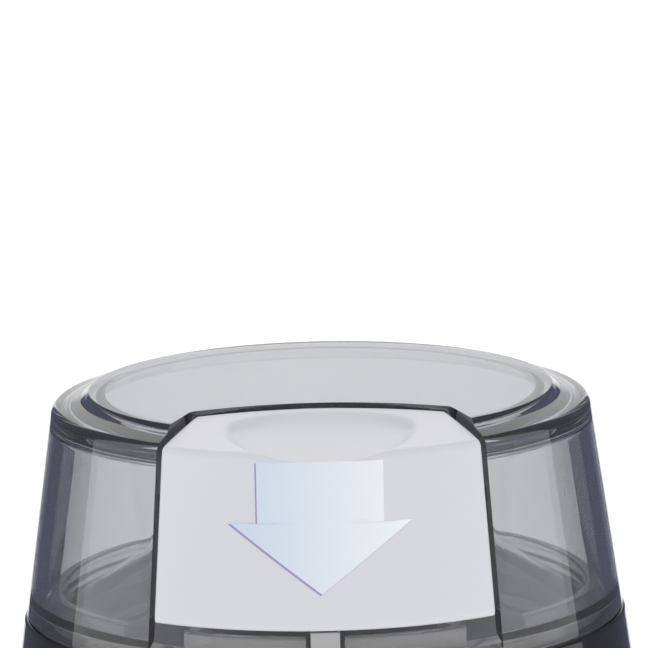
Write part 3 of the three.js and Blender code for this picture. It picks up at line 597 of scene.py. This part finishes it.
def make_arrow(name, material, slot_name, shift_x, shift_z, proud, grow=0.0):
    """A thin inlay that follows the front of the key."""
    heights = list(np.linspace(ARROW_TOP, ARROW_SHOULDER + 0.01, 14))
    heights += list(np.linspace(ARROW_SHOULDER - 0.01, ARROW_TIP, 26))
    columns = np.linspace(-1, 1, 25)
    verts, layers = [], []
    for sunk in (-proud, 0.25 * MM):
        grid = []
        for z in heights:
            line = []
            for t in columns:
                x = t * (arrow_half(z) + grow) * MM + shift_x
                height = SEAM_Z + z * MM + shift_z
                y = -math.sqrt((lid_radius(height) - sunk) ** 2 - x * x)
                line.append(len(verts))
                verts.append((x, y, height))
            grid.append(line)
        layers.append(grid)
    faces = []
    for grid in layers:
        for a, b in zip(grid, grid[1:]):
            faces += [[a[i], a[i + 1], b[i + 1], b[i]] for i in range(len(a) - 1)]
    front, back = layers
    loop = [(i, 0) for i in range(len(heights))] + [(len(heights) - 1, j) for j in range(1, len(columns))]
    loop += [(i, len(columns) - 1) for i in range(len(heights) - 2, -1, -1)]
    loop += [(0, j) for j in range(len(columns) - 2, 0, -1)]
    for (i, j), (k, m) in zip(loop, loop[1:] + loop[:1]):
        faces.append([front[i][j], front[k][m], back[k][m], back[i][j]])
    obj = new_object(name, verts, faces)
    bm = bmesh.new()
    bm.from_mesh(obj.data)
    bmesh.ops.remove_doubles(bm, verts=bm.verts, dist=1e-7)
    bmesh.ops.recalc_face_normals(bm, faces=bm.faces)
    bm.to_mesh(obj.data)
    bm.free()
    return finish_piece(smooth(obj, 40), "key", slot_name, material)


def make_plunger():
    half, back, front = 2.05 * MM, -38.5 * MM, -41.4 * MM
    stem_z, stem_top = KEY_BOTTOM_Z + 2.2 * MM, KEY_BOTTOM_Z + 12 * MM
    stem_front = -(lid_radius(stem_top) - 2 * MM) + 1 * MM
    post = block("key_plunger_piece", (-half, front, SEAM_Z - 3 * MM), (half, back, KEY_BOTTOM_Z - GAP))
    neck = block("neck", (-half, back - 0.9 * MM, KEY_BOTTOM_Z - 1 * MM), (half, back, stem_z + 1 * MM))
    arm = block("arm", (-half, back - 0.5 * MM, KEY_BOTTOM_Z + GAP),
                (half, stem_front + 2 * MM, stem_z + 1 * MM))
    stem = block("stem", (-6 * MM, stem_front, stem_z), (6 * MM, stem_front + 2 * MM, stem_top))
    combine(post, [neck, arm, stem], "UNION")
    soften(post, 0.25 * MM, 3)
    return finish_piece(post, "key", "grey_plastic", GREY, "key_plunger")


def make_spring(name, node, body, x, y, coil_r, wire_r, low, high, turns):
    """A round-wire coil whose end turns lie flat."""
    steps, sides = 40 * turns, 10
    verts, faces = [], []
    for i in range(steps + 1):
        t = i / steps
        flat = 1 / turns
        share = 0 if t < flat / 2 else 1 if t > 1 - flat / 2 else (t - flat / 2) / (1 - flat)
        angle = 2 * math.pi * turns * t
        z = low + wire_r + share * (high - low - 2 * wire_r)
        out = Vector((math.cos(angle), math.sin(angle), 0))
        centre = Vector((x, y, z)) + out * coil_r
        for k in range(sides):
            a = 2 * math.pi * k / sides
            verts.append(centre + out * (wire_r * math.cos(a)) + Vector((0, 0, wire_r * math.sin(a))))
    for i in range(steps):
        for k in range(sides):
            m = (k + 1) % sides
            faces.append([i * sides + k, i * sides + m, (i + 1) * sides + m, (i + 1) * sides + k])
    faces.append(list(range(sides)))
    faces.append(list(range(steps * sides, (steps + 1) * sides)))
    spring = smooth(fix_normals(new_object(name, verts, faces)), 60)
    finish_piece(spring, body, "spring_steel", SPRING, node)
    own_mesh(spring)
    return spring


# ---- Base ----------------------------------------------------------------------------------
COLLAR_LOW = SEAM_Z - 14 * MM


def make_collar():
    seat = 139 * MM
    profile = rounded([
        (33.4 * MM, seat, 0.3 * MM), (33.4 * MM, COLLAR_LOW, 0.3 * MM), (41.0 * MM, COLLAR_LOW, 0),
        (41.0 * MM, COLLAR_LOW - 5 * MM, 0.3 * MM), (42.3 * MM, COLLAR_LOW - 5 * MM, 0.3 * MM),
        (42.3 * MM, COLLAR_LOW, 0), (45.2 * MM, COLLAR_LOW, 0.25 * MM), (43.25 * MM, SEAM_Z, 0.5 * MM),
        (36.6 * MM, SEAM_Z, 0.4 * MM), (36.6 * MM, seat, 0.2 * MM),
    ], 4)
    collar = turned("base_collar_piece", profile)
    pocket = block("pocket", (-2.6 * MM, -41.8 * MM, SEAM_Z - 7 * MM), (2.6 * MM, -37.9 * MM, SEAM_Z + 1 * MM))
    hole = pin("rod_hole", 0, -39.7 * MM, 1.8 * MM, COLLAR_LOW - 6 * MM, SEAM_Z)
    combine(collar, [pocket, hole], "DIFFERENCE")
    soften(collar, 0.15 * MM, 2, 50)
    return finish_piece(collar, "base", "gloss_black", GLOSS_BLACK, "base_collar")


def housing_radius(z):
    """Outside of the housing at height z, both in millimetres."""
    t = (z - 2) / 129
    return 45.2 + 1.5 * (1 - t) + 1.6 * math.sin(math.pi * t) * (1 - 0.45 * t) - (1 - t) ** 8


def wall_boss(angle, radius, low, high):
    boss = pin("boss", radius * math.cos(angle), radius * math.sin(angle), 3.2 * MM, low, high)
    rib = block("rib", (radius, -1.2 * MM, low), (45.3 * MM, 1.2 * MM, high))
    rib.data.transform(Matrix.Rotation(angle, 4, "Z"))
    return [boss, rib]


def make_housing():
    levels = np.linspace(2, 130.7, 40)
    wall = 2.5
    outside = [(housing_radius(z) * MM, z * MM) for z in levels]
    inside = [((housing_radius(z) - wall) * MM, z * MM) for z in levels[::-1]]
    corners = [(r, z, 0.35 * MM if i in (0, len(levels) - 1) else 0) for i, (r, z) in enumerate(outside)]
    corners += [(r, z, 0.3 * MM if i in (0, len(levels) - 1) else 0) for i, (r, z) in enumerate(inside)]
    housing = turned("base_housing_piece", rounded(corners, 3))
    bottom = [math.pi / 8 + i * math.pi / 2 for i in range(4)]
    deck = [math.pi / 2 + i * 2 * math.pi / 3 for i in range(3)]
    bosses = [o for a in bottom for o in wall_boss(a, 37 * MM, 6.2 * MM, 18 * MM)]
    bosses += [o for a in deck for o in wall_boss(a, 37.6 * MM, 70 * MM, 85.7 * MM)]
    combine(housing, bosses, "UNION")
    holes = [pin("pilot", 37 * MM * math.cos(a), 37 * MM * math.sin(a), 1.65 * MM, 5 * MM, 17 * MM, 20)
             for a in bottom]
    holes += [pin("pilot", 37.6 * MM * math.cos(a), 37.6 * MM * math.sin(a), 1.65 * MM, 74 * MM, 88 * MM, 20)
              for a in deck]
    gland = pin("gland_hole", 0, 0, 5.5 * MM, 30 * MM, 60 * MM)
    gland.data.transform(Matrix.Translation((0, 0, 16 * MM)) @ Matrix.Rotation(-math.pi / 2, 4, "X"))
    combine(housing, holes + [gland], "DIFFERENCE")
    return finish_piece(smooth(housing), "base", "satin_black", SATIN_BLACK, "base_housing")


def make_feet():
    for i, (x, y) in enumerate([(-1, -1), (1, -1), (1, 1), (-1, 1)]):
        foot = turned("foot_%d" % (i + 1), rounded([
            (0, 0, 0), (5.7 * MM, 0, 0.5 * MM), (6.2 * MM, 0.8 * MM, 0.4 * MM), (6.2 * MM, 2.3 * MM, 0.3 * MM),
            (2.0 * MM, 2.3 * MM, 0), (2.0 * MM, 5.9 * MM, 0), (2.9 * MM, 5.9 * MM, 0.2 * MM),
            (1.8 * MM, 7.8 * MM, 0.4 * MM), (0, 7.8 * MM, 0),
        ], 3), EVEN_TURN[::4])
        foot.data.transform(Matrix.Translation((x * 25.5 * MM, y * 25.5 * MM, 0)))
        finish_piece(smooth(foot), "base", "rubber", RUBBER, "rubber_foot_%d" % (i + 1))


def make_gland():
    inner, outer = (housing_radius(16) - 2.5) * MM, housing_radius(16) * MM
    gland = turned("cord_gland_piece", rounded([
        (3.4 * MM, inner - 3 * MM, 0.3 * MM), (6.8 * MM, inner - 3 * MM, 0.4 * MM),
        (6.8 * MM, inner - 0.9 * MM, 0.2 * MM), (5.2 * MM, inner - 0.9 * MM, 0),
        (5.2 * MM, outer + 0.1 * MM, 0.3 * MM), (4.7 * MM, outer + 0.5 * MM, 0.3 * MM),
        (3.4 * MM, outer + 0.5 * MM, 0.2 * MM),
    ], 3), EVEN_TURN[::3])
    gland.data.transform(Matrix.Translation((0, 0, 16 * MM)) @ Matrix.Rotation(-math.pi / 2, 4, "X"))
    return finish_piece(smooth(gland), "base", "rubber", RUBBER, "cord_gland")


def make_bowl():
    r, t, z, seat = 32.8, 0.8, 104.5, 139.3
    profile = rounded([
        (r * MM, seat * MM, 0.4 * MM), (r * MM, z * MM, 7 * MM), (6.2 * MM, z * MM, 0.6 * MM),
        (6.2 * MM, (z + 5) * MM, 0.5 * MM), (5.2 * MM, (z + 6) * MM, 0), (6.2 * MM, (z + 6.8) * MM, 0.4 * MM),
        (7.0 * MM, (z + 5.4) * MM, 0.5 * MM), (7.0 * MM, (z + t) * MM, 1.0 * MM),
        ((r - t) * MM, (z + t) * MM, 6.2 * MM), ((r - t) * MM, (seat + t) * MM, 0.9 * MM),
        (36.2 * MM, (seat + t) * MM, 0.3 * MM), (36.2 * MM, seat * MM, 0.3 * MM),
    ], 6)
    return finish_piece(smooth(turned("bowl_piece", profile)), "base", "stainless", STEEL, "bowl")


def make_seal():
    low = SEAM_Z - 4.5 * MM
    seal = turned("lid_seal_piece", rounded([
        (33.4 * MM, low, 0.2 * MM), (36.2 * MM, low, 0.3 * MM), (36.2 * MM, low + 1 * MM, 0.3 * MM),
        (34.9 * MM, low + 1.1 * MM, 0.2 * MM), (33.4 * MM, low + 0.6 * MM, 0.2 * MM),
    ], 3))
    return finish_piece(smooth(seal), "lid", "silicone", SILICONE, "lid_seal")


# ---- CAD nodes that stay: eased edges and smooth round faces -------------------------------
def smoothing_group():
    group = bpy.data.node_groups.new("smooth_by_angle", "GeometryNodeTree")
    group.interface.new_socket("Geometry", in_out="INPUT", socket_type="NodeSocketGeometry")
    group.interface.new_socket("Geometry", in_out="OUTPUT", socket_type="NodeSocketGeometry")
    start, end = group.nodes.new("NodeGroupInput"), group.nodes.new("NodeGroupOutput")
    faces = group.nodes.new("GeometryNodeSetShadeSmooth")
    edges = group.nodes.new("GeometryNodeSetShadeSmooth")
    edges.domain = "EDGE"
    edges.inputs["Shade Smooth"].default_value = False
    angle = group.nodes.new("GeometryNodeInputMeshEdgeAngle")
    sharp = group.nodes.new("FunctionNodeCompare")
    sharp.operation = "GREATER_THAN"
    sharp.inputs[1].default_value = math.radians(38)
    group.links.new(start.outputs[0], faces.inputs["Geometry"])
    group.links.new(faces.outputs[0], edges.inputs["Geometry"])
    group.links.new(angle.outputs["Unsigned Angle"], sharp.inputs[0])
    group.links.new(sharp.outputs[0], edges.inputs["Selection"])
    group.links.new(edges.outputs[0], end.inputs[0])
    return group


def dress_cad_nodes():
    group = smoothing_group()
    slots = {s["node"]: s["material_slot"] for s in frame["record"]["subparts"]}
    for name, obj in frame["nodes"].items():
        if obj.hide_render:
            continue
        obj.data.materials.clear()
        obj.data.materials.append(SLOT_MATERIALS[slots[name]])
        bevel = obj.modifiers.new("edge", "BEVEL")
        bevel.width, bevel.segments = 0.12 * MM, 2
        bevel.limit_method, bevel.angle_limit = "ANGLE", math.radians(50)
        shading = obj.modifiers.new("shading", "NODES")
        shading.node_group = group


# ---- Stage ---------------------------------------------------------------------------------
def world_of_light():
    """White all round, dimmer towards the front."""
    world = bpy.data.worlds.new("studio")
    bpy.context.scene.world = world
    world.use_nodes = True
    tree = world.node_tree
    background = tree.nodes["Background"]
    where = tree.nodes.new("ShaderNodeTexCoord")
    parts = tree.nodes.new("ShaderNodeSeparateXYZ")
    tree.links.new(where.outputs["Generated"], parts.inputs["Vector"])
    front = tree.nodes.new("ShaderNodeMapRange")
    front.interpolation_type = "SMOOTHSTEP"
    front.inputs["From Min"].default_value, front.inputs["From Max"].default_value = -1.0, 0.2
    front.inputs["To Min"].default_value, front.inputs["To Max"].default_value = 0.62, 1.0
    tree.links.new(parts.outputs["Y"], front.inputs["Value"])
    tree.links.new(front.outputs["Result"], background.inputs["Strength"])
    background.inputs["Color"].default_value = (1, 1, 1, 1)


def make_card(name, low, high, colour):
    """A flat card that only reflections and refractions see."""
    (x0, y0, z0), (x1, y1, z1) = low, high
    verts = [(x0, y0, z0), (x1, y1, z0), (x1, y1, z1), (x0, y0, z1)]
    card = new_object(name, verts, [(0, 1, 2, 3)])
    mat, _, shader, _ = new_material(name)
    shader.inputs["Base Color"].default_value = (*colour, 1)
    shader.inputs["Roughness"].default_value = 1.0
    shader.inputs["Specular IOR Level"].default_value = 0.0
    card.data.materials.append(mat)
    card.visible_camera = False
    card.visible_diffuse = False
    card.visible_shadow = False
    return card


def make_stage():
    floor = new_object("floor", [(-60, -60, 0), (60, -60, 0), (60, 60, 0), (-60, 60, 0)], [(0, 1, 2, 3)])
    mat, _, shader, _ = new_material("floor_white")
    shader.inputs["Base Color"].default_value = (0.9, 0.9, 0.9, 1)
    shader.inputs["Roughness"].default_value = 0.9
    shader.inputs["Emission Color"].default_value = (1, 1, 1, 1)
    shader.inputs["Emission Strength"].default_value = 0.35
    floor.data.materials.append(mat)
    world_of_light()
    navy = (0.10, 0.11, 0.16)
    for side in (-1, 1):
        make_card("side_card_%d" % side, (side * 0.14, 0.02, 0.004), (side * 0.22, 0.75, 0.75), navy)
    bpy.context.scene.view_settings.view_transform = "Standard"


def arrow_blue():
    """Pale blue that grows lighter across the arrow."""
    mat, tree, shader, _ = new_material("arrow_blue")
    place = tree.nodes.new("ShaderNodeTexCoord")
    parts = tree.nodes.new("ShaderNodeSeparateXYZ")
    tree.links.new(place.outputs["Object"], parts.inputs["Vector"])
    fade = tree.nodes.new("ShaderNodeMapRange")
    fade.inputs["From Min"].default_value, fade.inputs["From Max"].default_value = -0.0123, 0.0123
    tree.links.new(parts.outputs["X"], fade.inputs["Value"])
    colour = blended(tree, fade.outputs["Result"], (0.65, 0.73, 0.88), (0.94, 0.98, 1.0))
    tree.links.new(colour, shader.inputs["Base Color"])
    tree.links.new(ranged(tree, noise(tree, 40, 4), 0.3, 0.4), shader.inputs["Roughness"])
    return mat


ARROW_BLUE = arrow_blue()
# Violet for a painted shadow: the darker band along the arrow's left and lower edges, as if the raised arrow
# were lit from the upper right.
PAINTED_ARROW_SHADOW = moulded("painted_arrow_shadow", (0.36, 0.28, 0.52), (0.42, 0.34, 0.58), (0.35, 0.45), 0.1)

make_camera()
make_lid_shell()
make_inner_dome()
make_seal()
make_key()
make_arrow("key_arrow", ARROW_BLUE, "white_plastic", ARROW_X, 0, 0.06 * MM)
# A violet copy of the arrow set 0.22 mm left and down, behind it: painted shadow along the arrow's left and
# lower edges.
make_arrow("key_arrow_painted_shade", PAINTED_ARROW_SHADOW, "white_plastic", ARROW_X - 0.22 * MM, -0.22 * MM, 0.03 * MM)
make_plunger()
for side, word in ((-1, "left"), (1, "right")):
    make_spring("spring_" + word, "key_spring_" + word, "lid", side * SPRING_X, -29.8 * MM,
                1.9 * MM, 0.32 * MM, 151 * MM, 170.4 * MM, 6)
make_spring("spring_rod", "rod_spring", "base", 0, -39.7 * MM, 2.1 * MM, 0.3 * MM,
            109.8 * MM, 121.7 * MM, 5)
make_collar()
make_housing()
make_feet()
make_gland()
make_bowl()
dress_cad_nodes()
make_stage()
